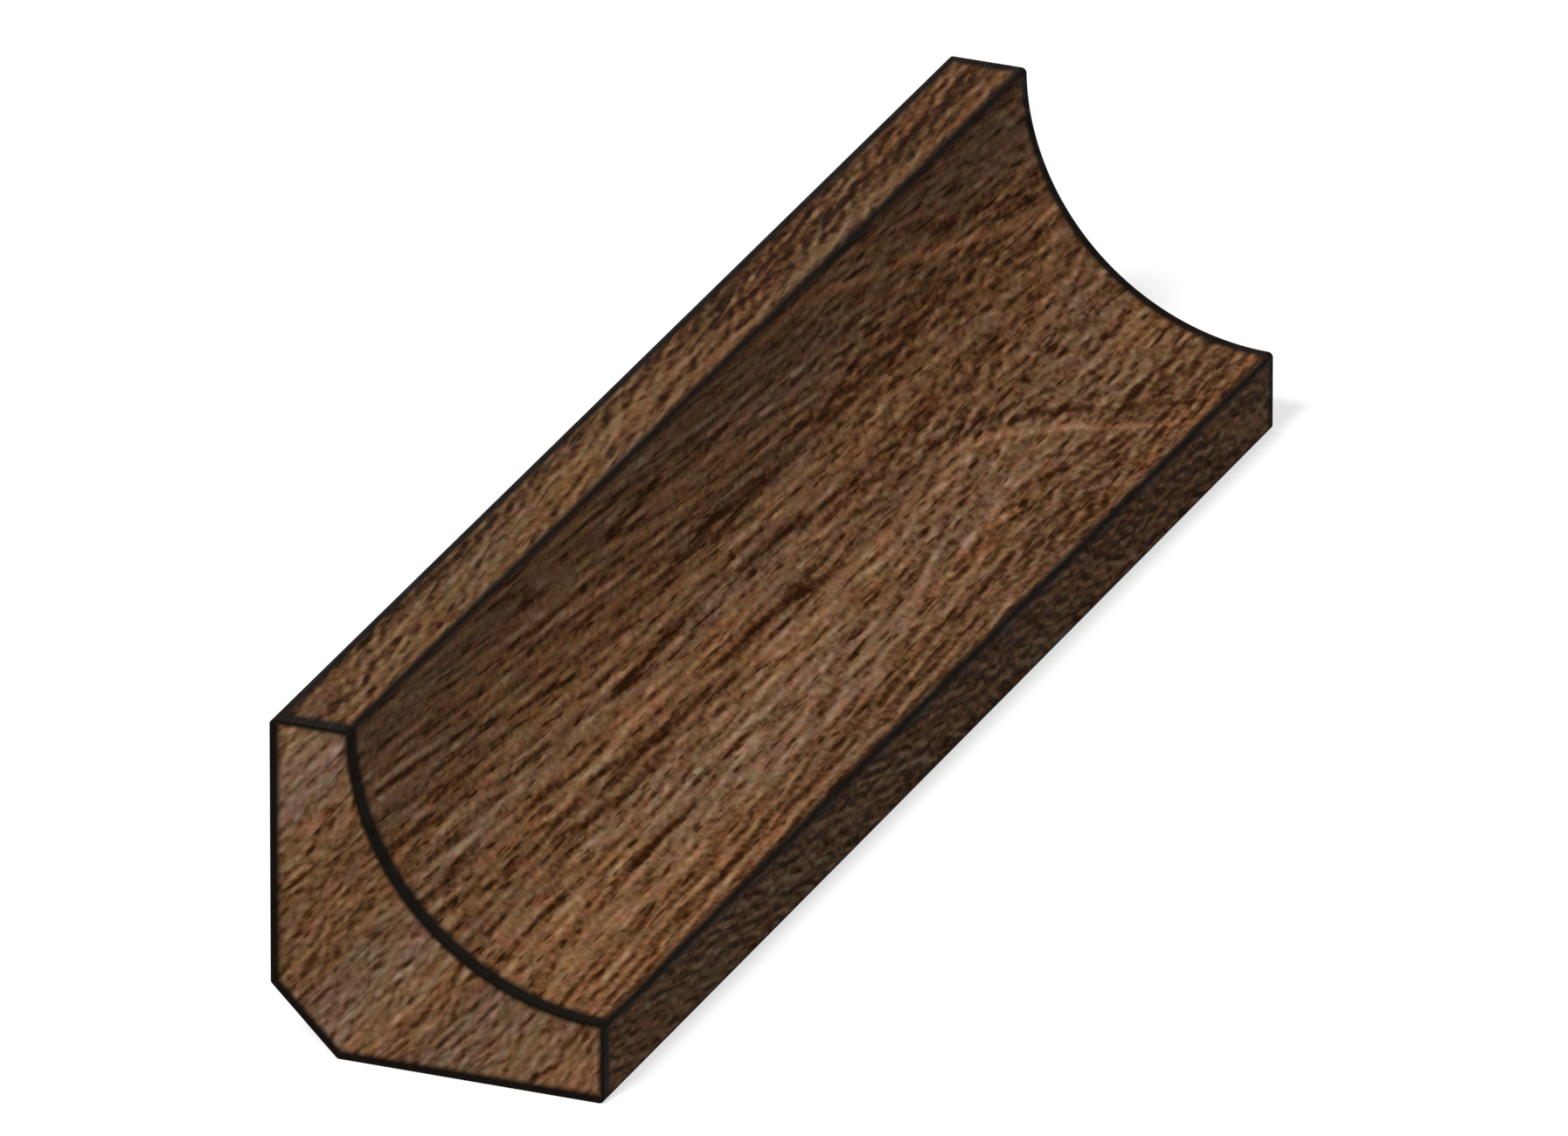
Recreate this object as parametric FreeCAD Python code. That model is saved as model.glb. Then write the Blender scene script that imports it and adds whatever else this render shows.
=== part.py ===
"""Scotia moulding: a short length of solid hardwood trim for an inside corner.

The piece is one solid, moulded along its whole length to a single section and cut square at both
ends. The section has a flat floor face, a flat wall face at right angles to it, and a 45 degree
relief where the two would meet, so that the trim seats in a corner that isn't quite sharp. On the
show side a quarter-round hollow runs between two square lips. The six long edges are eased with
fine paper, and the cut ends are left crisp.

Frame: +X points out from the wall, +Y along the grain and +Z up from the floor. The origin is at
the middle of the piece, on the floor that it stands on. All sizes are in millimetres.
"""

import FreeCAD, Part
import math
import os

from FreeCAD import Vector

# Driving dimensions
LENGTH = 100.0  # between the two square cuts
HOLLOW_RADIUS = 15.2  # the quarter-round hollow
TOP_LIP = 4.8  # width of the flat on top, between the wall face and the hollow
FRONT_LIP = 4.8  # height of the upright at the front, between the floor face and the hollow
BACK_RELIEF = 4.0  # how much of each leg the 45 degree relief takes off
EDGE_EASING = 0.3  # radius sanded on the long edges

# The two legs of the section, which the hollow and its lips add up to
FLOOR_LEG = TOP_LIP + HOLLOW_RADIUS
WALL_LEG = FRONT_LIP + HOLLOW_RADIUS

# Where the wall face and the near end lie about the origin
WALL_X = -FLOOR_LEG / 2
NEAR_Y = -LENGTH / 2


def section_point(out, up):
    """A point of the near end's section, from its distances out from the wall and up from the floor."""
    return Vector(WALL_X + out, NEAR_Y, up)


def hollow_arc():
    """The quarter circle from the top lip down to the front lip, square to both of them."""
    centre = section_point(FLOOR_LEG, WALL_LEG)
    half_way = math.radians(45)
    reach = Vector(-math.cos(half_way), 0, -math.sin(half_way)) * HOLLOW_RADIUS
    return Part.Arc(
        section_point(TOP_LIP, WALL_LEG),
        centre + reach,
        section_point(FLOOR_LEG, FRONT_LIP),
    )


def section_face():
    """The whole section as one face, at the near end."""
    corners = [
        section_point(FLOOR_LEG, FRONT_LIP),
        section_point(FLOOR_LEG, 0),
        section_point(BACK_RELIEF, 0),
        section_point(0, BACK_RELIEF),
        section_point(0, WALL_LEG),
        section_point(TOP_LIP, WALL_LEG),
    ]
    flats = [Part.LineSegment(a, b).toShape() for a, b in zip(corners, corners[1:])]
    return Part.Face(Part.Wire([hollow_arc().toShape(), *flats]))


def runs_along_the_grain(edge):
    """Whether a straight edge lies along the length of the piece."""
    start, end = (vertex.Point for vertex in edge.Vertexes)
    return math.isclose(abs(end.y - start.y), LENGTH, rel_tol=1e-6)


def moulding():
    """The section run along the length, with its long edges eased."""
    blank = section_face().extrude(Vector(0, LENGTH, 0))
    long_edges = [edge for edge in blank.Edges if runs_along_the_grain(edge)]
    return blank.makeFillet(EDGE_EASING, long_edges)


def main():
    """Builds the piece, writes it as one STEP file and prints its sizes."""
    os.makedirs("parts", exist_ok=True)
    piece = moulding()
    piece.exportStep("parts/scotia_moulding.step")
    box = piece.BoundBox
    print(f"scotia_moulding: {len(piece.Solids)} solid, valid {piece.isValid()}")
    print(f"size {box.XLength:.2f} x {box.YLength:.2f} x {box.ZLength:.2f} mm")
    print(f"volume {piece.Volume:.0f} mm3, {len(piece.Faces)} faces")


main()
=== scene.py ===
"""A short cut length of walnut scotia moulding, dressed round its fixed frame.

The moulding is one piece of wood: its section is swept as a skin of lines and arcs, its cut ends
are closed with a grid, and the gaps between its fibres are sunk into the mesh. Every finish is
walnut, with its own figure on the hollow, the lips, the plain back faces and the cut ends.
"""

import logging
import math
from dataclasses import dataclass, field
from enum import Enum
from typing import Callable, Union

import bmesh
import bpy
import numpy as np
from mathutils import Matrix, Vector


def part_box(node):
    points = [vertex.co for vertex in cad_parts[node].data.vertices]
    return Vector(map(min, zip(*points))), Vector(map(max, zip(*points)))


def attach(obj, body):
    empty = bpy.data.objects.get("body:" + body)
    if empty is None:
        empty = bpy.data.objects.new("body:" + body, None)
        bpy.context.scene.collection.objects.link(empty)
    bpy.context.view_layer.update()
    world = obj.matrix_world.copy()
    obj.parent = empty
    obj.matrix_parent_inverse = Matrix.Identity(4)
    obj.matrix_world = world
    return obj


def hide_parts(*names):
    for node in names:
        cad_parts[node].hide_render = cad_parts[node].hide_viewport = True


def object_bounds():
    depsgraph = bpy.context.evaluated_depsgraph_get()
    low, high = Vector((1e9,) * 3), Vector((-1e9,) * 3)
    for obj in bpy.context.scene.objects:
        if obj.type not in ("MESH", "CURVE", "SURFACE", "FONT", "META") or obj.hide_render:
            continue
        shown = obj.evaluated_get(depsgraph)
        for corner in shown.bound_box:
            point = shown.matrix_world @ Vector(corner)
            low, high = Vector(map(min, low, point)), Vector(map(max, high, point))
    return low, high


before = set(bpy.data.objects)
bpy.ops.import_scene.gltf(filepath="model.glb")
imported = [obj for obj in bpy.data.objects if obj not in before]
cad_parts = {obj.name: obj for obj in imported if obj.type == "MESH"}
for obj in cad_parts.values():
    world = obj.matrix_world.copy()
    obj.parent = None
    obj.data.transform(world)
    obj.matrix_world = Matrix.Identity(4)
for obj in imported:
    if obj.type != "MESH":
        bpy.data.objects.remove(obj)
CAD_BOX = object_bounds()

log = logging.getLogger("scotia")

MM = 0.001
CAD_NODE = "scotia_moulding"

Socket = bpy.types.NodeSocket
Value = Union[Socket, float, tuple]
Colour = tuple[float, float, float]


def srgb(red: int, green: int, blue: int) -> Colour:
    """Turns a colour as a screen shows it into the linear one that a shader takes.

    Args:
        red: Red, from 0 to 255.
        green: Green, from 0 to 255.
        blue: Blue, from 0 to 255.

    Returns:
        The linear red, green and blue, from 0 to 1.
    """
    shown = (red / 255, green / 255, blue / 255)
    return tuple(c / 12.92 if c <= 0.04045 else ((c + 0.055) / 1.055) ** 2.4 for c in shown)


class Face(Enum):
    """The faces of the moulding that have a finish of their own, in material slot order."""

    HOLLOW = 0
    TOP_LIP = 1
    FRONT_LIP = 2
    BACK = 3
    END = 4


@dataclass(frozen=True)
class Section:
    """The moulding's section and length, in metres, in the frame of the part's source."""

    width: float
    height: float
    length: float
    top_lip: float = 4.8 * MM
    front_lip: float = 4.8 * MM
    relief: float = 4.0 * MM
    easing: float = 0.3 * MM

    @classmethod
    def of_node(cls, node: str) -> "Section":
        """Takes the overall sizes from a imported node.

        Args:
            node: The name of the node.

        Returns:
            The section with the node's width, height and length.
        """
        low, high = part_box(node)
        size = high - low
        return cls(width=size.x, height=size.z, length=size.y)

    @property
    def hollow_radius(self) -> float:
        """The radius of the quarter-round hollow."""
        return self.width - self.top_lip

    @property
    def wall_x(self) -> float:
        """Where the wall face lies."""
        return -self.width / 2

    @property
    def front_x(self) -> float:
        """Where the front lip's face lies, and the axis of the hollow."""
        return self.width / 2

    @property
    def end_y(self) -> float:
        """How far either cut end lies from the middle."""
        return self.length / 2


@dataclass(frozen=True)
class Fineness:
    """How many steps of mesh each stretch of the section and the length have."""

    lip: int = 30
    hollow: int = 164
    relief: int = 24
    easing: int = 6
    soft_easing: int = 4
    coarse_rows: int = 70
    rows_in_each: int = 3

    @property
    def flat(self) -> int:
        """Steps on the wall face and on the floor face, so that the ends fill as an even grid."""
        return (self.hollow - self.relief - 2 * self.soft_easing) // 2

    @property
    def lip_side(self) -> int:
        """Steps from the middle of one easing to the middle of the next, over a lip."""
        return self.lip + self.easing


class Graph:
    """Adds nodes to one shader or geometry tree and wires them up."""

    def __init__(self, tree: bpy.types.NodeTree) -> None:
        """Works on the given tree."""
        self.tree = tree

    def add(self, kind: str, **settings: object) -> bpy.types.Node:
        """Adds one node.

        Args:
            kind: Blender's name for the kind of node.
            **settings: Properties to set on it.

        Returns:
            The new node.
        """
        node = self.tree.nodes.new(kind)
        for name, value in settings.items():
            setattr(node, name, value)
        return node

    def feed(self, socket: Socket, value: Value) -> None:
        """Wires a socket to another one, or sets its own value.

        Args:
            socket: The input to feed.
            value: The output to wire to it, or the value to set.
        """
        if isinstance(value, bpy.types.NodeSocket):
            self.tree.links.new(value, socket)
        else:
            socket.default_value = value

    def math(self, operation: str, *values: Value, clamp: bool = False) -> Socket:
        """Adds one step of arithmetic.

        Args:
            operation: The Math node's operation.
            *values: What it works on, in order.
            clamp: Whether the result stays between 0 and 1.

        Returns:
            The result.
        """
        node = self.add("ShaderNodeMath", operation=operation, use_clamp=clamp)
        for socket, value in zip(node.inputs, values):
            self.feed(socket, value)
        return node.outputs[0]

    def vector(self, operation: str, *values: Value, factor: Value = 1.0) -> Socket:
        """Adds one step of vector arithmetic.

        Args:
            operation: The Vector Math node's operation.
            *values: The vectors it works on, in order.
            factor: The factor of a SCALE.

        Returns:
            The result, which is a number for a dot product.
        """
        node = self.add("ShaderNodeVectorMath", operation=operation)
        for socket, value in zip(node.inputs, values):
            self.feed(socket, value)
        if operation == "SCALE":
            self.feed(node.inputs["Scale"], factor)
        return node.outputs["Value" if operation == "DOT_PRODUCT" else "Vector"]

    def split(self, place: Value) -> tuple[Socket, Socket, Socket]:
        """Takes a place apart.

        Args:
            place: The place.

        Returns:
            Its three coordinates.
        """
        node = self.add("ShaderNodeSeparateXYZ")
        self.feed(node.inputs[0], place)
        return tuple(node.outputs)

    def sway(self, layer: Value, strength: Value, onto: Value) -> Socket:
        """Adds a layer that is about 0.5 in the middle to a value, as far up as down."""
        return self.math("MULTIPLY_ADD", self.math("SUBTRACT", layer, 0.5), strength, onto)

    def noise(self, place: Value, detail: Value, roughness: Value) -> bpy.types.Node:
        """Adds cloudy noise with one lump to each unit of place.

        Args:
            place: The place.
            detail: How many finer layers lie over the first.
            roughness: How strong each finer layer is.

        Returns:
            The node, with a grey output and a coloured one.
        """
        node = self.add("ShaderNodeTexNoise", noise_dimensions="3D")
        self.feed(node.inputs["Vector"], place)
        self.feed(node.inputs["Scale"], 1.0)
        self.feed(node.inputs["Detail"], detail)
        self.feed(node.inputs["Roughness"], roughness)
        return node

    def ease(self, value: Value, low: Value, high: Value, start: Value = 0.0, end: Value = 1.0) -> Socket:
        """Takes a value smoothly from start to end while it goes from low to high.

        Args:
            value: The value to follow.
            low: Where the change begins.
            high: Where the change ends.
            start: The result up to low.
            end: The result from high on.

        Returns:
            The result.
        """
        node = self.add("ShaderNodeMapRange", interpolation_type="SMOOTHSTEP")
        names = ("Value", "From Min", "From Max", "To Min", "To Max")
        for name, given in zip(names, (value, low, high, start, end)):
            self.feed(node.inputs[name], given)
        return node.outputs[0]

    def blend(self, factor: Value, first: Value, second: Value, mode: str = "MIX") -> Socket:
        """Blends one colour over another.

        Args:
            factor: How much of the second colour shows.
            first: The colour below.
            second: The colour above.
            mode: The Mix node's blend type.

        Returns:
            The blended colour.
        """
        node = self.add("ShaderNodeMix", data_type="RGBA", blend_type=mode)
        colours = [socket for socket in node.inputs if socket.type == "RGBA"]
        self.feed(node.inputs[0], factor)
        for socket, value in zip(colours, (first, second)):
            self.feed(socket, (*value, 1.0) if isinstance(value, tuple) else value)
        return next(socket for socket in node.outputs if socket.type == "RGBA")

    def place(self, group: bpy.types.NodeTree, **inputs: Value) -> bpy.types.Node:
        """Places a shader node group with its own values.

        Args:
            group: The group.
            **inputs: A value for each named input, with its spaces as underscores.

        Returns:
            The group's node.
        """
        node = self.add("ShaderNodeGroup", node_tree=group)
        for name, value in inputs.items():
            self.feed(node.inputs[name.replace("_", " ")], value)
        return node


def grain_noise(
    graph: Graph, place: Value, along: Value, across: Value, length: Value, detail: Value, roughness: Value
) -> Socket:
    """Noise in lumps that are drawn out along the grain, about 0.5 in the middle.

    Args:
        graph: The tree to build in.
        place: The place, in millimetres.
        along: The direction of the grain, of length 1.
        across: How wide one lump is, in millimetres.
        length: How long one lump is, in millimetres.
        detail: How many finer layers lie over the first.
        roughness: How strong each finer layer is.

    Returns:
        The noise.
    """
    distance = graph.vector("DOT_PRODUCT", place, along)
    squeeze = graph.math("SUBTRACT", graph.math("DIVIDE", across, length), 1.0)
    shift = graph.vector("SCALE", along, factor=graph.math("MULTIPLY", distance, squeeze))
    moved = graph.vector("ADD", place, shift)
    lumps = graph.vector("SCALE", moved, factor=graph.math("DIVIDE", 1.0, across))
    return graph.noise(lumps, detail, roughness).outputs[0]


def wandering(graph: Graph, place: Value, reach: Value, amount: Value) -> Socket:
    """Moves a place slowly to and fro, so that the grain isn't ruled straight.

    Args:
        graph: The tree to build in.
        place: The place, in millimetres.
        reach: The length of one swing, in millimetres.
        amount: How far a swing goes, in millimetres.

    Returns:
        The moved place.
    """
    swings = graph.vector("SCALE", place, factor=graph.math("DIVIDE", 1.0, reach))
    slow = graph.noise(swings, detail=1.0, roughness=0.5)
    swing = graph.vector("SUBTRACT", slow.outputs[1], (0.5, 0.5, 0.5))
    return graph.vector("ADD", place, graph.vector("SCALE", swing, factor=amount))


@dataclass(frozen=True)
class Fibres:
    """The raised fibres of one face, which its mesh and its finish share. Sizes are in millimetres.

    Short fibres lie among long ones, and both wander a little. Towards the far end the figure turns,
    and fewer of them are long. The bands of colour follow a direction of their own.
    """

    along: Colour
    bands_along: Colour = (0.0, 1.0, 0.0)
    across: float = 0.48
    short: float = 2.4
    long: float = 14.0
    long_share: float = 0.8
    far_long_share: float = 0.8
    turns: tuple[float, float] = (5.0, 22.0)
    wander: float = 0.15
    wander_reach: float = 9.0
    seed: Colour = (0.0, 0.0, 0.0)

    def direction(self) -> Colour:
        """The direction of the grain, of length 1."""
        return tuple(Vector(self.along).normalized())

    def share(self, graph: Graph, lengthwise: Value) -> Socket:
        """How much of the height is long fibres, so many millimetres past the middle of the length."""
        return graph.ease(lengthwise, *self.turns, self.long_share, self.far_long_share)

    def height(self, graph: Graph, place: Value) -> Socket:
        """How high the fibres stand.

        Args:
            graph: The tree to build in.
            place: The place, in millimetres.

        Returns:
            The height, about 0.5 in the middle.
        """
        share = self.share(graph, graph.split(place)[1])
        moved = wandering(graph, graph.vector("ADD", place, self.seed), self.wander_reach, self.wander)
        return fibre_height(graph, moved, self.direction(), self.across, self.short, self.long, share)


# A short fibre is a little narrower than a long one, and each has beads a little larger than itself
SHORT_WIDTH = 0.85
BEAD_WIDTH, BEAD_LENGTH = 1.5, 2.2
BEAD_STRENGTH, BEAD_BASE = 2.4, -0.2
# How many finer layers of noise lie over the first, and how strong each is
FINER_FIBRES = (1.0, 0.4)
FINER_BEADS = (0.0, 0.5)
# Far apart places of the noise, so that the layers don't repeat each other
LONG_SEED = (17.3, 5.1, 9.7)
BEAD_SEED = (4.9, 21.7, 13.1)


def fibre_height(
    graph: Graph, place: Value, along: Value, across: Value, short: Value, long: Value, long_share: Value
) -> Socket:
    """The height of short fibres that lie among long ones, each of them beaded, about 0.5 in the middle.

    Args:
        graph: The tree to build in.
        place: The place, in millimetres.
        along: The direction of the grain, of length 1.
        across: How wide a fibre is, in millimetres.
        short: How long a short fibre is, in millimetres.
        long: How long a long fibre is, in millimetres.
        long_share: How much of the height the long fibres make up.

    Returns:
        The height.
    """
    short_across = graph.math("MULTIPLY", across, SHORT_WIDTH)
    near = grain_noise(graph, place, along, short_across, short, *FINER_FIBRES)
    far = grain_noise(graph, graph.vector("ADD", place, LONG_SEED), along, across, long, *FINER_FIBRES)
    share = graph.math("MULTIPLY", graph.math("SUBTRACT", far, near), long_share)
    height = graph.math("SUBTRACT", graph.math("ADD", near, share), 0.5)
    wide, bead = graph.math("MULTIPLY", across, BEAD_WIDTH), graph.math("MULTIPLY", across, BEAD_LENGTH)
    beads = grain_noise(graph, graph.vector("ADD", place, BEAD_SEED), along, wide, bead, *FINER_BEADS)
    beaded = graph.math("MULTIPLY_ADD", beads, BEAD_STRENGTH, BEAD_BASE)
    return graph.math("MULTIPLY_ADD", height, beaded, 0.5)


class Arris(Enum):
    """The kinds of arris, each of which a finish can darken in its own width.

    A back one is next to the wall face, the floor face or the relief, and a shown one to a face of the
    show side. Long ones lie along the length, and cut ones go round the cut ends.
    """

    LONG_SHOWN = "Long Shown"
    LONG_BACK = "Long Back"
    CUT_SHOWN = "Cut Shown"
    CUT_BACK = "Cut Back"


# How much narrower the dark line round the far cut is than the one round the near cut
FAR_CUT_NARROWER = 1.45
# A distance in millimetres that is more than any on the moulding
FAR_AWAY = 1000.0


def nearest_two(graph: Graph, distances: list[Socket]) -> tuple[Socket, Value]:
    """Picks the smallest distance and the one after it.

    Args:
        graph: The tree to build in.
        distances: The distances, in any order.

    Returns:
        The smallest distance and the next one.
    """
    nearest, second = distances[0], FAR_AWAY
    for distance in distances[1:]:
        second = graph.math("MINIMUM", second, graph.math("MAXIMUM", nearest, distance))
        nearest = graph.math("MINIMUM", nearest, distance)
    return nearest, second


def arris_distances(graph: Graph, place: Value, section: Section) -> tuple[Socket, Socket, Socket, Socket]:
    """How far a place on the moulding's skin is from its arrises, in millimetres.

    Each face of the section is a plane, or the hollow's cylinder, at a known distance. On the skin the
    nearest one is the face itself, and the others are the faces beyond its arrises.

    Args:
        graph: The tree to build in.
        place: The place, in millimetres.
        section: The moulding's section.

    Returns:
        The distance from the nearest arris of each kind, in the order of the kinds.
    """
    width, height, length = section.width / MM, section.height / MM, section.length / MM
    relief, radius = section.relief / MM, section.hollow_radius / MM
    x, y, z = graph.split(place)
    from_wall = graph.math("ADD", x, width / 2)
    from_front = graph.math("SUBTRACT", width / 2, x)
    from_top = graph.math("SUBTRACT", height, z)
    across_relief = graph.math("SUBTRACT", graph.math("ADD", from_wall, z), relief)
    squares = [graph.math("POWER", distance, 2.0) for distance in (from_front, from_top)]
    from_hollow = graph.math("SUBTRACT", graph.math("SQRT", graph.math("ADD", *squares)), radius)
    from_relief = graph.math("MULTIPLY", across_relief, math.sqrt(0.5))
    shown, next_shown = nearest_two(graph, [from_front, from_top, from_hollow])
    back, next_back = nearest_two(graph, [from_wall, z, from_relief])
    is_shown = graph.math("LESS_THAN", shown, back)
    beyond_shown = graph.math("MULTIPLY_ADD", is_shown, graph.math("SUBTRACT", next_shown, shown), shown)
    beyond_back = graph.math("MULTIPLY_ADD", is_shown, graph.math("SUBTRACT", back, next_back), next_back)
    from_far = graph.math("MULTIPLY", graph.math("SUBTRACT", length / 2, y), FAR_CUT_NARROWER)
    from_end = graph.math("MINIMUM", graph.math("ADD", y, length / 2), from_far)
    cut_shown = graph.math("MAXIMUM", shown, from_end)
    cut_back = graph.math("MAXIMUM", back, from_end)
    return beyond_shown, beyond_back, cut_shown, cut_back


# The numbers that give a streak its place and shape
STREAK_SHAPE = ("Start", "End", "Level", "Rise", "Power", "Width")


class NodeGroups:
    """The effects that several finishes share, each built once."""

    # How far to either side the steepness of a fibre is taken, as a share of its width
    flank_step: float = 0.36
    # How much of a streak fades out at each of its tips
    streak_tip: float = 0.08

    def __init__(self, section: Section) -> None:
        """Builds the groups.

        Args:
            section: The section of the moulding that they are for.
        """
        self.section = section
        self.grain = self.build_grain()
        self.fibres = self.build_fibres()
        self.wander = self.build_wander()
        self.arris = self.build_arris()
        self.streak = self.build_streak()

    @staticmethod
    def start(
        name: str, inputs: dict[str, Value], outputs: list[str]
    ) -> tuple[Graph, bpy.types.Node, bpy.types.Node]:
        """Makes an empty shader node group.

        Args:
            name: The group's name.
            inputs: Each input's name and default, a number or a vector.
            outputs: The outputs' names, all of them numbers, or vectors where the name ends in Place.

        Returns:
            The group as a graph, with its input and output nodes.
        """
        tree = bpy.data.node_groups.new(name, "ShaderNodeTree")
        for label, default in inputs.items():
            kind = "NodeSocketVector" if isinstance(default, tuple) else "NodeSocketFloat"
            tree.interface.new_socket(label, in_out="INPUT", socket_type=kind).default_value = default
        for label in outputs:
            kind = "NodeSocketVector" if label.endswith("Place") else "NodeSocketFloat"
            tree.interface.new_socket(label, in_out="OUTPUT", socket_type=kind)
        graph = Graph(tree)
        return graph, graph.add("NodeGroupInput"), graph.add("NodeGroupOutput")

    def build_grain(self) -> bpy.types.NodeTree:
        """Noise in lumps that lie along the grain.

        Returns:
            The group.
        """
        inputs = {
            "Place": (0.0, 0.0, 0.0),
            "Along": (0.0, 1.0, 0.0),
            "Across": 0.3,
            "Length": 2.0,
            "Detail": 2.0,
            "Roughness": 0.5,
        }
        graph, given, made = self.start("grain", inputs, ["Grain"])
        graph.feed(made.inputs["Grain"], grain_noise(graph, *(given.outputs[name] for name in inputs)))
        return graph.tree

    def build_fibres(self) -> bpy.types.NodeTree:
        """The height of the fibres, and how steeply they rise to one side.

        Returns:
            The group.
        """
        inputs = {
            "Along": (0.0, 1.0, 0.0),
            "Across": 0.5,
            "Short": 2.0,
            "Long": 8.0,
            "Long Share": 0.4,
        }
        place_and_side = {"Place": (0.0, 0.0, 0.0), "Side": (1.0, 0.0, 0.0)}
        graph, given, made = self.start("fibres", place_and_side | inputs, ["Height", "Flank"])
        step = graph.math("MULTIPLY", given.outputs["Across"], self.flank_step)
        half = graph.vector("SCALE", given.outputs["Side"], factor=step)
        heights = [
            fibre_height(
                graph,
                graph.vector(operation, given.outputs["Place"], half),
                *(given.outputs[name] for name in inputs),
            )
            for operation in ("ADD", "SUBTRACT")
        ]
        graph.feed(made.inputs["Height"], graph.math("MULTIPLY", graph.math("ADD", *heights), 0.5))
        graph.feed(made.inputs["Flank"], graph.math("SUBTRACT", *heights))
        return graph.tree

    def build_wander(self) -> bpy.types.NodeTree:
        """A place moved slowly to and fro.

        Returns:
            The group.
        """
        inputs = {"Place": (0.0, 0.0, 0.0), "Reach": 9.0, "Amount": 0.9}
        graph, given, made = self.start("wander", inputs, ["Moved Place"])
        graph.feed(made.inputs["Moved Place"], wandering(graph, *(given.outputs[name] for name in inputs)))
        return graph.tree

    def build_arris(self) -> bpy.types.NodeTree:
        """How far a place on the surface is from the nearest arris of each kind.

        Returns:
            The group.
        """
        names = [kind.value for kind in Arris]
        graph, given, made = self.start("arris_distance", {"Place": (0.0, 0.0, 0.0)}, names)
        for name, distance in zip(names, arris_distances(graph, given.outputs["Place"], self.section)):
            graph.feed(made.inputs[name], distance)
        return graph.tree

    def build_streak(self) -> bpy.types.NodeTree:
        """The mark of one line of the figure, which bends away from the grain towards its far end.

        Returns:
            The group.
        """
        inputs = dict.fromkeys(("Lengthwise", "Round", *STREAK_SHAPE), 0.0)
        graph, given, made = self.start("figure_streak", inputs, ["Mark"])
        at = given.outputs
        run = graph.math("SUBTRACT", at["End"], at["Start"])
        share = graph.math("DIVIDE", graph.math("SUBTRACT", at["Lengthwise"], at["Start"]), run, clamp=True)
        bend = graph.math("MULTIPLY", at["Rise"], graph.math("POWER", share, at["Power"]))
        off = graph.math("SUBTRACT", at["Round"], graph.math("ADD", at["Level"], bend))
        ratio = graph.math("DIVIDE", off, at["Width"])
        bell = graph.math("EXPONENT", graph.math("MULTIPLY", graph.math("MULTIPLY", ratio, ratio), -1.0))
        fade_in = graph.ease(share, 0.0, self.streak_tip)
        fade_out = graph.ease(share, 1.0 - self.streak_tip, 1.0, 1.0, 0.0)
        fade = graph.math("MULTIPLY", fade_in, fade_out)
        graph.feed(made.inputs["Mark"], graph.math("MULTIPLY", bell, fade))
        return graph.tree


# The width in millimetres past which a streak is a zone
WIDEST_LINE = 0.9


@dataclass(frozen=True)
class Streak:
    """One line or one wide zone of the figure. It starts at a level round the section and may bend.

    Sizes are in millimetres: along the length from the near end, and round the section from the
    back of the top lip. A tone below 0 darkens the wood and one above 0 lightens it. The light and
    shade painted on the flanks of the fibres is stronger where its last number is above 0, and weaker
    where it is below 0.
    """

    start: float
    end: float
    level: float
    rise: float = 0.0
    power: float = 1.0
    width: float = 0.35
    tone: float = -0.3
    warmth: float = 0.0
    more_flank_shading: float = 0.0

    @property
    def kind(self) -> str:
        """Sorts the streak by how it marks the wood.

        Returns:
            zone for a wide one, which shades the wood evenly, or else dark or light for a line.
        """
        if self.width > WIDEST_LINE:
            return "zone"
        return "dark" if self.tone < 0 else "light"


@dataclass(frozen=True)
class Layer:
    """One layer of the figure: noise in lumps that lie along the grain. Sizes are in millimetres."""

    across: float
    length: float
    detail: float = 1.0
    roughness: float = 0.5


@dataclass(frozen=True)
class Tint:
    """A change of hue to and fro between two tints, in the lumps of a layer."""

    layer: Layer
    first: Colour
    second: Colour


# Smooth changes: where each begins and ends, and the value before it and after it
GROOVE_DEPTH = (0.58, 0.74, 0.0, 1.0)
BREAK_OF_LINES = (0.38, 0.6, 1.25, 0.35)
# How the painted light and shade on the fibres' flanks weakens in patches, towards the far end and in light
# lines
FLANK_SHADING_IN_PATCHES = (0.35, 0.65, 1.14, 0.86)
FLANK_SHADING_LENGTHWISE = (55.0, 80.0, 1.0, 0.86)
FLANK_SHADING_IN_LIGHT_LINES = (0.05, 0.3, 1.0, 0.6)
SHARE_OF_TINT = (0.36, 0.64, 0.0, 1.0)
ROUGHNESS_OF_FIBRES = (0.35, 0.65, 0.8, 0.62)


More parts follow.
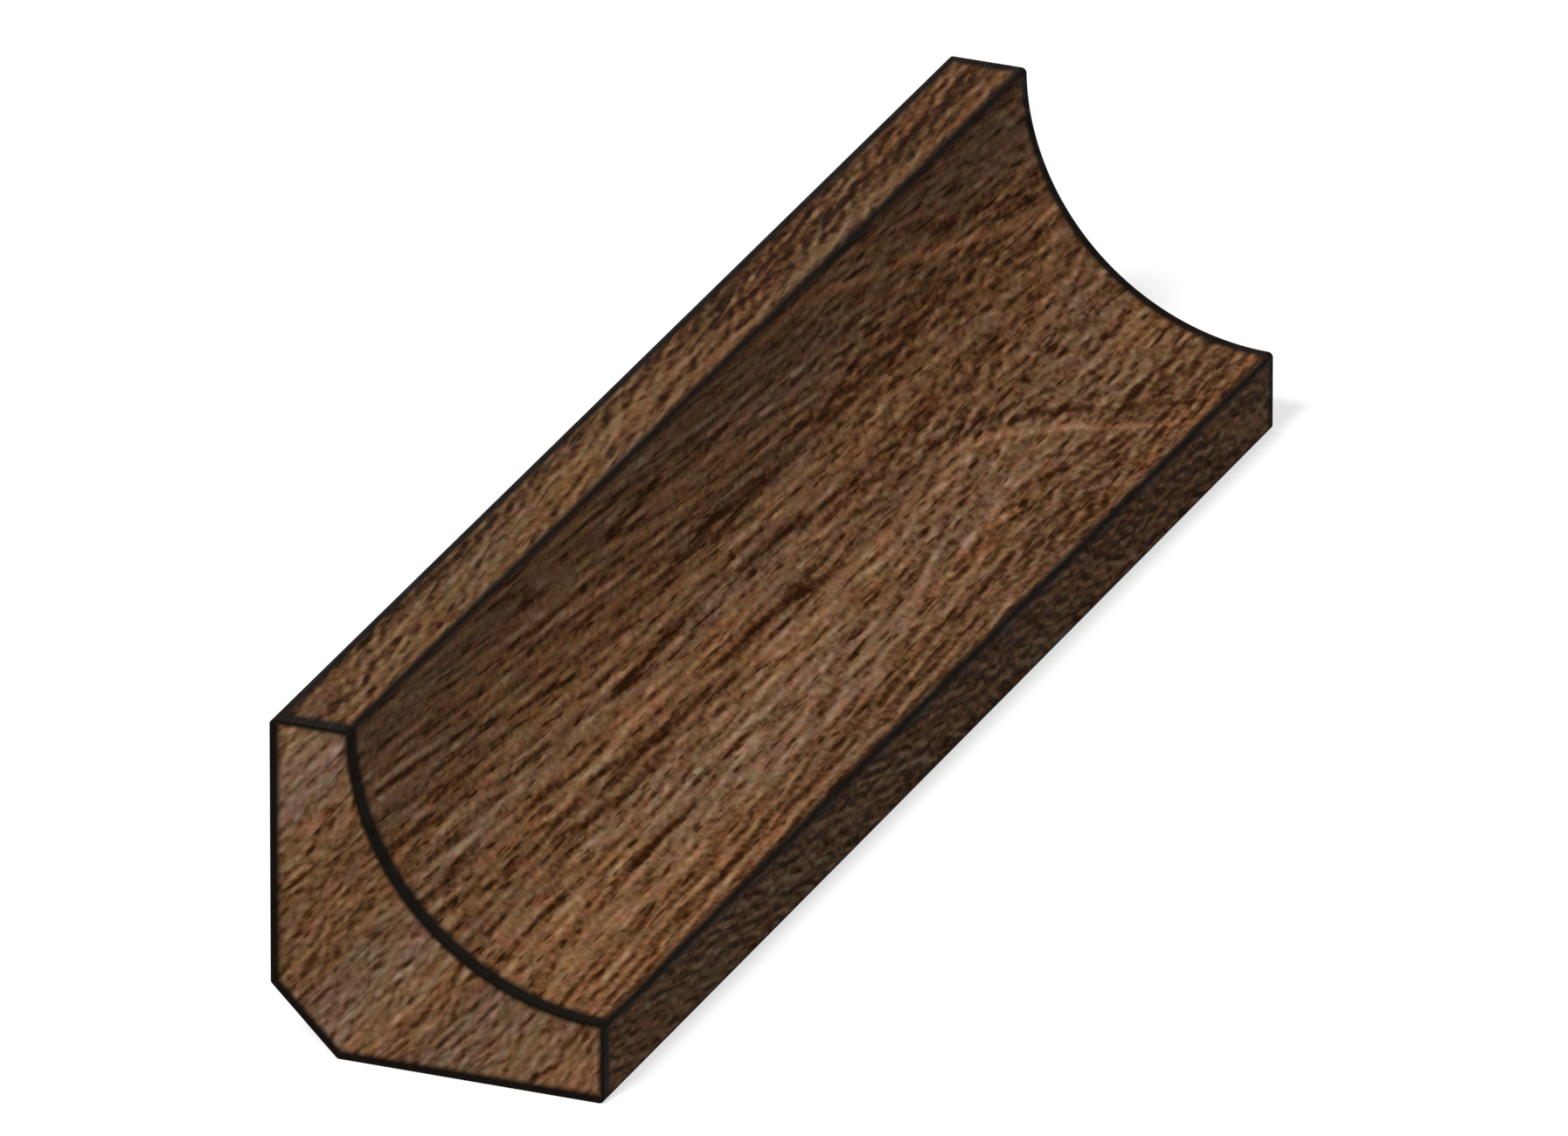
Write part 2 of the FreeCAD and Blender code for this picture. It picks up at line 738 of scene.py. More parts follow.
@dataclass(frozen=True)
class Walnut:
    """The finish of one face of the moulding: walnut with open grain and dark arrises.

    The tone of the wood runs from deep over middle to pale, and a strength says how much a layer of
    the figure moves it; the strength of the flanks says how strongly light and shade are painted on
    the fibres. The tints then change its hue, and the painted shade darkens and tints the whole face
    by its own amount. Each of the last four pairs is for a kind of arris: how far from it its dark
    line is full, and how far off the line ends, in millimetres.
    """

    face: Face
    fibres: Fibres
    deep: Colour = srgb(43, 20, 2)
    dark: Colour = srgb(75, 47, 26)
    middle: Colour = srgb(114, 82, 58)
    light: Colour = srgb(139, 107, 82)
    pale: Colour = srgb(160, 132, 111)
    tints: tuple[Tint, ...] = (
        Tint(Layer(3.5, 30.0), first=(0.955, 1.0, 1.07), second=(1.055, 0.98, 0.87)),
        Tint(Layer(0.45, 2.4), first=(0.955, 1.0, 1.07), second=(1.075, 0.97, 0.9)),
        Tint(Layer(0.9, 2.2), first=(1.04, 0.965, 0.97), second=(0.975, 1.04, 0.9)),
    )
    warm_tint: Colour = (1.12, 0.95, 0.84)
    bands: Layer = Layer(1.1, 60.0)
    broad: Layer = Layer(5.0, 80.0, detail=0.0)
    patches: Layer = Layer(2.2, 11.0)
    fine: Layer = Layer(0.36, 0.62, roughness=0.6)
    grooves: Layer = Layer(0.28, 5.0, roughness=0.6)
    ink: Colour = srgb(18, 13, 9)
    gloss: float = 0.03
    band_strength: float = 0.46
    broad_strength: float = 0.4
    # How strongly light and shade are painted on the flanks of the fibres
    painted_flank_shading: float = 1.05
    height_strength: float = 0.5
    fine_strength: float = 0.65
    groove_strength: float = 0.35
    stray_with_fibres: float = 0.6
    stray_with_patches: float = 0.8
    bump_distance: float = 0.05 * MM
    groove_bump: float = -0.8
    # Painted shade over the whole face, multiplied into its colour
    painted_shade: Colour = (1.0, 1.0, 1.0)
    streaks: tuple[Streak, ...] = ()
    long_shown: tuple[float, float] = (0.0, 0.75)
    long_back: tuple[float, float] = (0.15, 0.6)
    cut_shown: tuple[float, float] = (0.66, 1.55)
    cut_back: tuple[float, float] = (0.3, 0.7)

    def round_coordinate(self, graph: Graph, place: Value, section: Section) -> Socket:
        """How far round the section a place lies, in millimetres from the back of the top lip.

        Args:
            graph: The tree to build in.
            place: The place, in millimetres.
            section: The moulding's section.

        Returns:
            The distance over the skin.
        """
        x, _, z = graph.split(place)
        half, height = section.width / 2 / MM, section.height / MM
        lip, radius = section.top_lip / MM, section.hollow_radius / MM
        if self.face is Face.TOP_LIP:
            return graph.math("ADD", x, half)
        if self.face is Face.FRONT_LIP:
            arris = lip + radius * math.pi / 2 + section.front_lip / MM
            return graph.math("SUBTRACT", arris, z)
        turn = graph.math("ARCTAN2", graph.math("SUBTRACT", height, z), graph.math("SUBTRACT", half, x))
        return graph.math("ADD", graph.math("MULTIPLY", turn, radius), lip)

    def mark_streaks(
        self, graph: Graph, groups: NodeGroups, lengthwise: Socket, round_place: Socket
    ) -> dict[str, Value]:
        """Adds up the placed lines of the figure.

        Args:
            graph: The tree to build in.
            groups: The shared effects.
            lengthwise: The distance from the near end.
            round_place: The distance round the section.

        Returns:
            The tone of the zones, of the dark lines and of the light lines, how red the wood is, and
            how much more light and shade is painted on the flanks of the fibres.
        """
        marks: dict[str, Value] = dict.fromkeys(("zone", "dark", "light", "warmth", "more_flank_shading"), 0.0)
        for streak in self.streaks:
            shape = {name: getattr(streak, name.lower()) for name in STREAK_SHAPE}
            node = graph.place(groups.streak, Lengthwise=lengthwise, Round=round_place, **shape)
            mark = node.outputs["Mark"]
            effects = ((streak.kind, streak.tone), ("warmth", streak.warmth), ("more_flank_shading", streak.more_flank_shading))
            for name, amount in effects:
                if amount:
                    marks[name] = graph.math("MULTIPLY_ADD", mark, amount, marks[name])
        return marks

    def lay_figure(self, graph: Graph, groups: NodeGroups, place: Socket) -> dict[str, Socket]:
        """Lays the fibres and the other layers of the figure.

        Args:
            graph: The tree to build in.
            groups: The shared effects.
            place: The place, in millimetres.

        Returns:
            Each layer by its name, and one for each tint by its number.
        """
        fibres = self.fibres
        wandered = graph.place(
            groups.wander,
            Place=graph.vector("ADD", place, fibres.seed),
            Reach=fibres.wander_reach,
            Amount=fibres.wander,
        ).outputs[0]
        along = fibres.direction()
        normal = graph.add("ShaderNodeTexCoord").outputs["Normal"]
        # The side points so that the flank of a fibre that faces the key lamp gets painted light, and the
        # other flank painted shade
        made = graph.place(
            groups.fibres,
            Place=wandered,
            Side=graph.vector("NORMALIZE", graph.vector("CROSS_PRODUCT", along, normal)),
            Along=along,
            Across=fibres.across,
            Short=fibres.short,
            Long=fibres.long,
            Long_Share=fibres.share(graph, graph.split(place)[1]),
        ).outputs
        figure = {"height": made["Height"], "flank": made["Flank"]}
        layers = {
            "bands": (self.bands, fibres.bands_along),
            "broad": (self.broad, fibres.bands_along),
            "patches": (self.patches, along),
            "fine": (self.fine, along),
            "grooves": (self.grooves, along),
        }
        layers |= {f"tint {number}": (tint.layer, along) for number, tint in enumerate(self.tints)}
        for name, (layer, direction) in layers.items():
            figure[name] = graph.place(
                groups.grain,
                Place=wandered,
                Along=direction,
                Across=layer.across,
                Length=layer.length,
                Detail=layer.detail,
                Roughness=layer.roughness,
            ).outputs[0]
        figure["grooves"] = graph.ease(figure["grooves"], *GROOVE_DEPTH)
        return figure

    def mix_tone(
        self, graph: Graph, figure: dict[str, Socket], marks: dict[str, Value], lengthwise: Socket
    ) -> Socket:
        """Mixes the layers, the painted light and shade on the fibres' flanks and the streaks into one
        tone, from 0 for deep to 1 for pale.

        Args:
            graph: The tree to build in.
            figure: The layers of the figure.
            marks: The summed streaks.
            lengthwise: The distance from the near end.

        Returns:
            The tone.
        """
        # Light and shade are painted on the flanks of the fibres, less at the far end and in a light line
        painted_flank: Value = self.painted_flank_shading
        for factor in (
            graph.ease(figure["patches"], *FLANK_SHADING_IN_PATCHES),
            graph.ease(lengthwise, *FLANK_SHADING_LENGTHWISE),
            graph.ease(marks["light"], *FLANK_SHADING_IN_LIGHT_LINES),
            graph.math("ADD", marks["more_flank_shading"], 1.0),
        ):
            painted_flank = graph.math("MULTIPLY", painted_flank, factor)
        # Painted light and shade: the flank of each fibre that faces the key lamp is lighter, the other
        # darker
        tone = graph.math("MULTIPLY_ADD", figure["flank"], painted_flank, 0.5)
        # A dark line is broken where the fibres stand up
        broken = graph.ease(figure["height"], *BREAK_OF_LINES)
        tone = graph.math("MULTIPLY_ADD", marks["dark"], broken, tone)
        tone = graph.math("ADD", graph.math("ADD", tone, marks["light"]), marks["zone"])
        for name, strength in (
            ("bands", self.band_strength),
            ("broad", self.broad_strength),
            ("height", self.height_strength),
            ("fine", self.fine_strength),
        ):
            tone = graph.sway(figure[name], strength, tone)
        return graph.math("MULTIPLY_ADD", figure["grooves"], -self.groove_strength, tone)

    def colour_tone(
        self, graph: Graph, figure: dict[str, Socket], marks: dict[str, Value], tone: Socket
    ) -> Socket:
        """Turns the tone into the colour of the wood.

        Args:
            graph: The tree to build in.
            figure: The layers of the figure.
            marks: The summed streaks.
            tone: The tone, from 0 to 1.

        Returns:
            The colour.
        """
        ramp = graph.add("ShaderNodeValToRGB")
        steps = (self.deep, self.dark, self.middle, self.light, self.pale)
        ramp.color_ramp.elements.remove(ramp.color_ramp.elements[1])
        for number, step in enumerate(steps):
            at = number / (len(steps) - 1)
            element = ramp.color_ramp.elements.new(at) if at else ramp.color_ramp.elements[0]
            element.color = (*step, 1.0)
        graph.feed(ramp.inputs[0], tone)
        colour = ramp.outputs[0]
        for number, tint in enumerate(self.tints):
            share = graph.ease(figure[f"tint {number}"], *SHARE_OF_TINT)
            colour = graph.blend(1.0, colour, graph.blend(share, tint.first, tint.second), "MULTIPLY")
        if isinstance(marks["warmth"], bpy.types.NodeSocket):
            warmed = graph.blend(1.0, colour, self.warm_tint, "MULTIPLY")
            colour = graph.blend(graph.math("MAXIMUM", marks["warmth"], 0.0, clamp=True), colour, warmed)
        # Painted shade: the whole face is darkened by its own amount
        if min(self.painted_shade) < 1.0:
            colour = graph.blend(1.0, colour, self.painted_shade, "MULTIPLY")
        return colour

    def build(self, groups: NodeGroups) -> bpy.types.Material:
        """Makes the material.

        Args:
            groups: The shared effects.

        Returns:
            The material.
        """
        material = bpy.data.materials.new(f"walnut_{self.face.name.lower()}")
        material.use_nodes = True
        graph = Graph(material.node_tree)
        graph.tree.nodes.clear()
        shader = graph.add("ShaderNodeBsdfPrincipled")
        shader.inputs["Specular IOR Level"].default_value = self.gloss
        graph.feed(graph.add("ShaderNodeOutputMaterial").inputs["Surface"], shader.outputs[0])

        place = graph.vector("SCALE", graph.add("ShaderNodeTexCoord").outputs["Object"], factor=1 / MM)
        figure = self.lay_figure(graph, groups, place)
        lengthwise = graph.math("ADD", graph.split(place)[1], groups.section.end_y / MM)
        stray = graph.sway(figure["height"], self.stray_with_fibres, 0.0)
        stray = graph.sway(figure["patches"], self.stray_with_patches, stray)
        round_place = graph.math("ADD", self.round_coordinate(graph, place, groups.section), stray)
        marks = self.mark_streaks(graph, groups, lengthwise, round_place)
        tone = self.mix_tone(graph, figure, marks, lengthwise)
        colour = self.colour_tone(graph, figure, marks, tone)

        arris = graph.place(groups.arris, Place=place).outputs
        lines: Value = 0.0
        for kind, width in zip(Arris, (self.long_shown, self.long_back, self.cut_shown, self.cut_back)):
            lines = graph.math("MAXIMUM", lines, graph.ease(arris[kind.value], *width, 1.0, 0.0))
        graph.feed(shader.inputs["Base Color"], graph.blend(lines, colour, self.ink))
        graph.feed(shader.inputs["Roughness"], graph.ease(figure["height"], *ROUGHNESS_OF_FIBRES))

        bump = graph.add("ShaderNodeBump")
        bump.inputs["Strength"].default_value = 1.0
        bump.inputs["Distance"].default_value = self.bump_distance
        surface = graph.math("MULTIPLY_ADD", figure["grooves"], self.groove_bump, figure["fine"])
        graph.feed(bump.inputs["Height"], surface)
        graph.feed(shader.inputs["Normal"], bump.outputs[0])
        return material


@dataclass(frozen=True)
class Relief:
    """How far the grain is sunk into the mesh, in metres.

    Fibres that stand as high as the crest reach the surface of the solid, and none rises above it.
    The grain fades to smooth wood beside an arris, between two distances from it in millimetres.
    """

    depth: float = 0.12 * MM
    crest: float = 0.8
    fade: tuple[float, float] = (0.3, 0.8)


@dataclass(frozen=True)
class BakeLayout:
    """The flat layout of the skin and the ends for a baked picture. Sizes are in metres.

    The skin lies as one strip with the length to the right, and both ends lie side by side above it.
    """

    map_name: str = "OFBake"
    side: float = 102 * MM
    gap: float = 1 * MM

    def place(self, right: np.ndarray, up: np.ndarray) -> np.ndarray:
        """Turns distances to the right and up, in metres, into places on the map, one a row."""
        return (np.stack([right, up], axis=1) + self.gap) / self.side


def read_all(members: bpy.types.bpy_prop_collection, name: str, kind: type, width: int = 1) -> np.ndarray:
    """Reads one property of all the vertices, edges, faces or corners of a mesh.

    Args:
        members: The members to read.
        name: The property.
        kind: The type of its numbers.
        width: How many numbers it has.

    Returns:
        The numbers: a row for each member, or a plain list where each has one.
    """
    values = np.empty(len(members) * width, kind)
    members.foreach_get(name, values)
    return values.reshape(-1, width) if width > 1 else values


@dataclass
class Moulding:
    """The scotia moulding: one solid of walnut.

    Points nearer to each other than same_place are joined, and points are in one row where they differ
    by less than same_level along the length. A strip is part of a lip where it is nearer to its plane
    than on_lip.
    """

    section: Section
    finishes: tuple[Walnut, ...]
    fineness: Fineness = field(default_factory=Fineness)
    relief: Relief = field(default_factory=Relief)
    layout: BakeLayout = field(default_factory=BakeLayout)
    name: str = "walnut_moulding"
    smooth_below: float = math.radians(50)
    same_place: float = 0.0001 * MM
    same_level: float = 0.01 * MM
    on_lip: float = 0.05 * MM
    piece: bpy.types.Object = field(init=False)
    girth: float = field(init=False)

    def build(self, groups: NodeGroups) -> bpy.types.Object:
        """Models the moulding and dresses it.

        Args:
            groups: The shared effects.

        Returns:
            The finished piece.
        """
        bpy.ops.object.select_all(action="DESELECT")
        self.add_first_edge()
        self.sweep_section()
        self.lay_out_skin()
        self.close_skin()
        self.dress(groups)
        self.divide_length()
        self.fill_ends()
        bpy.ops.object.shade_smooth_by_angle(angle=self.smooth_below)
        self.sink_grain()
        return self.piece

    def add_first_edge(self) -> None:
        """Adds a plane and keeps one long edge of it, where the top lip meets its back easing."""
        bpy.ops.mesh.primitive_plane_add(size=self.section.length, location=(0, 0, 0))
        self.piece = bpy.context.object
        self.piece.name = self.piece.data.name = self.name
        self.choose_points(lambda points: points[:, 0] > 0)
        bpy.ops.mesh.delete(type="VERT")
        bpy.ops.mesh.select_all(action="SELECT")
        start = Vector((self.section.wall_x + self.section.easing, 0, self.section.height))
        bpy.ops.transform.translate(value=start + Vector((self.section.end_y, 0, 0)))

    def run(self, x: float, z: float, steps: int) -> None:
        """Draws the chosen edge out in a straight line, as a strip of faces.

        Args:
            x: How far it goes outwards from the wall.
            z: How far it goes up.
            steps: How many faces wide the strip is.
        """
        for _ in range(steps):
            bpy.ops.mesh.extrude_region_move(TRANSFORM_OT_translate={"value": (x / steps, 0, z / steps)})

    def turn(self, x: float, z: float, angle: float, steps: int) -> None:
        """Spins the chosen edge about a line along the length.

        Args:
            x: Where the line is, outwards from the middle.
            z: How high the line is.
            angle: How far it turns, in radians: above 0 round the wood, below 0 round a hollow.
            steps: How many faces the arc has.
        """
        bpy.ops.mesh.spin(steps=steps, angle=-angle, center=(x, 0, z), axis=(0, 1, 0))

    def sweep_section(self) -> None:
        """Sweeps the edge once round the section, over the lips, the floor face and up the wall face."""
        size, steps = self.section, self.fineness
        ease, radius = size.easing, size.hollow_radius
        quarter, eighth = math.radians(90), math.radians(45)
        # The easings beside the hollow touch it a little way round its arc
        lead = math.asin(ease / (radius + ease))
        to_easing = (radius + ease) * math.cos(lead)
        soft_run = ease * math.tan(eighth / 2)
        slope = size.relief - 2 * soft_run * math.cos(eighth)

        self.run(size.front_x - to_easing - (size.wall_x + ease), 0, steps.lip)
        self.turn(size.front_x - to_easing, size.height - ease, quarter - lead, steps.easing)
        self.turn(size.front_x, size.height, 2 * lead - quarter, steps.hollow)
        self.turn(size.front_x - ease, size.height - to_easing, quarter - lead, steps.easing)
        self.run(0, ease - (size.height - to_easing), steps.lip)
        self.turn(size.front_x - ease, ease, quarter, steps.easing)
        self.run(size.wall_x + size.relief + soft_run - (size.front_x - ease), 0, steps.flat)
        self.turn(size.wall_x + size.relief + soft_run, ease, eighth, steps.soft_easing)
        self.run(-slope, slope, steps.relief)
        self.turn(size.wall_x + ease, size.relief + soft_run, eighth, steps.soft_easing)
        self.run(0, size.height - ease - (size.relief + soft_run), steps.flat)
        self.turn(size.wall_x + ease, size.height - ease, quarter, steps.easing)
        bpy.ops.object.mode_set(mode="OBJECT")

    def lay_out_skin(self) -> None:
        """Lays the skin out flat while its first and its last edge are still apart."""
        mesh = self.piece.data
        mesh.uv_layers[0].name = self.layout.map_name
        places = self.places()
        around = np.zeros(len(places))
        for side in (places[:, 1] < 0, places[:, 1] > 0):
            steps = np.linalg.norm(np.diff(places[side], axis=0), axis=1)
            around[side] = np.concatenate(([0.0], np.cumsum(steps)))
        self.girth = around.max()
        corners = self.face_corners()
        flat = self.layout.place(places[corners, 1] + self.section.end_y, around[corners])
        mesh.uv_layers[0].uv.foreach_set("vector", flat.ravel())

    def lay_out_ends(self) -> None:
        """Lays both ends out flat above the skin."""
        mesh = self.piece.data
        finish = read_all(mesh.polygons, "material_index", np.int32)
        on_end = np.repeat(finish == Face.END.value, read_all(mesh.polygons, "loop_total", np.int32))
        corner = self.places()[self.face_corners()]
        beside = np.where(corner[:, 1] > 0, self.section.width + 2 * self.layout.gap, 0.0)
        right = corner[:, 0] - self.section.wall_x + beside
        up = corner[:, 2] + self.girth + 2 * self.layout.gap
        skin = read_all(mesh.uv_layers[0].uv, "vector", float, 2)
        flat = np.where(on_end[:, None], self.layout.place(right, up), skin)
        mesh.uv_layers[0].uv.foreach_set("vector", flat.ravel())

    def close_skin(self) -> None:
        """Joins the skin's last edge to its first one."""
        self.choose_points(lambda points: np.ones(len(points), bool))
        bpy.ops.mesh.remove_doubles(threshold=self.same_place)
        bpy.ops.mesh.normals_make_consistent(inside=False)
        bpy.ops.object.mode_set(mode="OBJECT")

    def dress(self, groups: NodeGroups) -> None:
        """Gives each strip of the skin its finish. The ends get theirs when they are filled.

        Args:
            groups: The shared effects.
        """
        for finish in self.finishes:
            self.piece.data.materials.append(finish.build(groups))
        for polygon in self.piece.data.polygons:
            polygon.material_index = self.face_at(polygon.center).value

    def face_at(self, centre: Vector) -> Face:
        """Tells the face of the moulding that a strip of the skin belongs to.

        Args:
            centre: The middle of the strip.

        Returns:
            The face.
        """
        size = self.section
        reach = math.hypot(size.front_x - centre.x, size.height - centre.z) - size.hollow_radius
        if centre.z > size.height - self.on_lip and centre.x < size.front_x - size.hollow_radius:
            return Face.TOP_LIP
        if centre.x > size.front_x - self.on_lip and centre.z < size.height - size.hollow_radius:
            return Face.FRONT_LIP
        return Face.HOLLOW if reach < 2 * self.on_lip else Face.BACK

    def divide_length(self) -> None:
        """Cuts the long strips into short faces."""
        for rows in (self.fineness.coarse_rows, self.fineness.rows_in_each):
            self.choose_edges(lambda first, last: np.abs(first[:, 1] - last[:, 1]) > self.same_level)
            bpy.ops.mesh.subdivide(number_cuts=rows - 1)
            bpy.ops.object.mode_set(mode="OBJECT")

    def fill_ends(self) -> None:
        """Closes each cut end with a grid whose lines run round the section and across it."""
        size = self.section
        hollow_arris = Vector((size.front_x - size.hollow_radius, -size.end_y, size.height))
        wall_arris = Vector((size.wall_x, size.end_y, size.height))
        for corner in (hollow_arris, wall_arris):
            faces = len(self.piece.data.polygons)
            both = 2 * corner.y
            self.choose_edges(lambda first, last: np.abs(first[:, 1] + last[:, 1] - both) < self.same_level)
            mesh = bmesh.from_edit_mesh(self.piece.data)
            first = min((v for v in mesh.verts if v.select), key=lambda v: (v.co - corner).length)
            mesh.select_history.clear()
            mesh.select_history.add(first)
            bpy.ops.mesh.fill_grid(span=self.fineness.lip_side)
            bpy.ops.object.mode_set(mode="OBJECT")
            for polygon in self.piece.data.polygons[faces:]:
                polygon.material_index = Face.END.value
        self.lay_out_ends()

    def sink_grain(self) -> None:
        """Sinks the gaps between the fibres into the mesh, with the same noise as each finish has."""
        for finish in self.finishes:
            modifier = self.piece.modifiers.new("grain", "NODES")
            modifier.node_group = self.build_sink(finish)
            bpy.ops.object.modifier_apply(modifier=modifier.name)

    def build_sink(self, finish: Walnut) -> bpy.types.NodeTree:
        """Builds the tree that sinks the gaps between the fibres of one face.

        Args:
            finish: The finish of the face.

        Returns:
            The geometry tree.
        """
        tree = bpy.data.node_groups.new(f"sink_{finish.face.name.lower()}", "GeometryNodeTree")
        for way in ("INPUT", "OUTPUT"):
            tree.interface.new_socket("Mesh", in_out=way, socket_type="NodeSocketGeometry")
        graph = Graph(tree)
        given, made = graph.add("NodeGroupInput"), graph.add("NodeGroupOutput")
        place = graph.vector("SCALE", graph.add("GeometryNodeInputPosition").outputs[0], factor=1 / MM)
        nearest, *others = arris_distances(graph, place, self.section)
        for distance in others:
            nearest = graph.math("MINIMUM", nearest, distance)
        clear = graph.ease(nearest, *self.relief.fade)
        height = graph.math("SUBTRACT", finish.fibres.height(graph, place), self.relief.crest)
        height = graph.math("MULTIPLY", graph.math("MINIMUM", height, 0.0), clear)
        rise = graph.math("MULTIPLY", height, self.relief.depth)
        chosen = graph.add("FunctionNodeCompare", data_type="INT", operation="EQUAL")
        sides = [socket for socket in chosen.inputs if socket.type == "INT"]
        graph.feed(sides[0], graph.add("GeometryNodeInputMaterialIndex").outputs[0])
        graph.feed(sides[1], finish.face.value)
        move = graph.add("GeometryNodeSetPosition")
        normal = graph.add("GeometryNodeInputNormal").outputs[0]
        graph.feed(move.inputs["Geometry"], given.outputs[0])
        graph.feed(move.inputs["Selection"], chosen.outputs[0])
        graph.feed(move.inputs["Offset"], graph.vector("SCALE", normal, factor=rise))
        graph.feed(made.inputs[0], move.outputs[0])
        return tree

    def choose_points(self, test: Callable[[np.ndarray], np.ndarray]) -> None:
        """Chooses vertices by their place and opens edit mode on them.

        Args:
            test: Takes all the places, one a row, and says which to choose.
        """
        bpy.ops.object.mode_set(mode="OBJECT")
        bpy.context.tool_settings.mesh_select_mode = (True, False, False)
        mesh = self.piece.data
        mesh.polygons.foreach_set("select", np.zeros(len(mesh.polygons), bool))
        mesh.edges.foreach_set("select", np.zeros(len(mesh.edges), bool))
        mesh.vertices.foreach_set("select", test(self.places()))
        bpy.ops.object.mode_set(mode="EDIT")

    def choose_edges(self, test: Callable[[np.ndarray, np.ndarray], np.ndarray]) -> None:
        """Chooses edges by the places of their two ends and opens edit mode on them.

        Args:
            test: Takes the places of all first and all last ends, one a row, and says which to choose.
        """
        bpy.ops.object.mode_set(mode="OBJECT")
        bpy.context.tool_settings.mesh_select_mode = (False, True, False)
        mesh = self.piece.data
        ends = read_all(mesh.edges, "vertices", np.int32, 2)
        places = self.places()
        chosen = test(places[ends[:, 0]], places[ends[:, 1]])
        mesh.polygons.foreach_set("select", np.zeros(len(mesh.polygons), bool))
        mesh.edges.foreach_set("select", chosen)
        points = np.zeros(len(mesh.vertices), bool)
        points[ends[chosen].ravel()] = True
        mesh.vertices.foreach_set("select", points)
        bpy.ops.object.mode_set(mode="EDIT")

    def face_corners(self) -> np.ndarray:
        """The number of the vertex at each corner of each face."""
        return read_all(self.piece.data.loops, "vertex_index", np.int32)

    def places(self) -> np.ndarray:
        """The places of all the vertices, one a row."""
        return read_all(self.piece.data.vertices, "co", float, 3)


@dataclass(frozen=True)
class Lamp:
    """A soft lamp that is far enough away to light the whole piece alike. Softness is in degrees."""

    name: str
    towards: Colour
    strength: float
    softness: float

    def build(self) -> None:
        """Adds the lamp, which shines from where towards points."""
        data = bpy.data.lights.new(self.name, "SUN")
        data.energy = self.strength * math.pi
        data.angle = math.radians(self.softness)
        lamp = bpy.data.objects.new(self.name, data)
        bpy.context.scene.collection.objects.link(lamp)
        lamp.rotation_mode = "QUATERNION"
        lamp.rotation_quaternion = Vector(self.towards).to_track_quat("Z", "Y")


@dataclass(frozen=True)
class Studio:
    """A plain white floor and surroundings with soft light, and the camera.

    Angles are in degrees, the lens is in millimetres and other lengths are in metres.
    """

    lamps: tuple[Lamp, ...]
    surround: float = 0.2
    floor_colour: float = 0.35
    floor_glow: float = 0.68
    floor_size: float = 60.0
    azimuth: float = 22.26
    elevation: float = 23.98
    distance: float = 2.694
    lens: float = 1100.0
    aim_right: float = 0.28 * MM
    aim_up: float = 0.21 * MM
    clip: tuple[float, float] = (0.01, 100.0)

    def build(self) -> None:
        """Builds the floor, the surroundings, the lamps and the camera."""
        bpy.context.scene.view_settings.view_transform = "Standard"
        self.build_floor()
        self.build_surround()
        for lamp in self.lamps:
            lamp.build()
        self.build_camera()

    @staticmethod
    def sees_background(graph: Graph) -> Socket:
        """Tells the rays that look at the background from those that light the piece.

        Args:
            graph: The tree to build in.

        Returns:
            1 for a ray from the camera, from a mirror or through glass, and 0 for any other.
        """
        path = graph.add("ShaderNodeLightPath")
        seen = graph.math("MAXIMUM", path.outputs["Is Camera Ray"], path.outputs["Is Glossy Ray"])
        return graph.math("MAXIMUM", seen, path.outputs["Is Transmission Ray"])

    def build_floor(self) -> None:
        """Lays a pale floor that keeps the piece's shadow."""
        bpy.ops.object.select_all(action="DESELECT")
        bpy.ops.mesh.primitive_plane_add(size=self.floor_size, location=(0, 0, 0))
        floor = bpy.context.object
        floor.name = "floor"
        material = bpy.data.materials.new("pale_floor")
        material.use_nodes = True
        graph = Graph(material.node_tree)
        graph.tree.nodes.clear()
        matt = graph.add("ShaderNodeBsdfDiffuse")
        matt.inputs["Color"].default_value = (*(self.floor_colour,) * 3, 1.0)
        glow = graph.add("ShaderNodeEmission")
        strength = graph.math("MULTIPLY", self.sees_background(graph), self.floor_glow)
        graph.feed(glow.inputs["Strength"], strength)
        both = graph.add("ShaderNodeAddShader")
        graph.feed(both.inputs[0], matt.outputs[0])
        graph.feed(both.inputs[1], glow.outputs[0])
        graph.feed(graph.add("ShaderNodeOutputMaterial").inputs["Surface"], both.outputs[0])
        floor.data.materials.append(material)

    def build_surround(self) -> None:
        """Surrounds the piece with an even light that the camera sees as white."""
        world = bpy.data.worlds.new("surround")
        bpy.context.scene.world = world
        world.use_nodes = True
        graph = Graph(world.node_tree)
        graph.tree.nodes.clear()
        background = graph.add("ShaderNodeBackground")
        background.inputs["Color"].default_value = (1.0, 1.0, 1.0, 1.0)
        seen = self.sees_background(graph)
        graph.feed(background.inputs["Strength"], graph.ease(seen, 0.0, 1.0, self.surround, 1.0))
        graph.feed(graph.add("ShaderNodeOutputWorld").inputs["Surface"], background.outputs[0])

    def build_camera(self) -> None:
        """Sets a long lens far off, at the height and the side that the piece is seen from."""
        low, high = CAD_BOX
        side, rise = math.radians(self.azimuth), math.radians(self.elevation)
        back = Vector((math.sin(side) * math.cos(rise), -math.cos(side) * math.cos(rise), math.sin(rise)))
        right = Vector((math.cos(side), math.sin(side), 0))
        up = back.cross(right)
        data = bpy.data.cameras.new("camera")
        data.lens = self.lens
        data.clip_start, data.clip_end = self.clip
        camera = bpy.data.objects.new("camera", data)
        bpy.context.scene.collection.objects.link(camera)
        aim = (low + high) / 2 + right * self.aim_right + up * self.aim_up
        camera.location = aim + back * self.distance
        camera.rotation_mode = "QUATERNION"
        camera.rotation_quaternion = back.to_track_quat("Z", "Y")
        bpy.context.scene.camera = camera


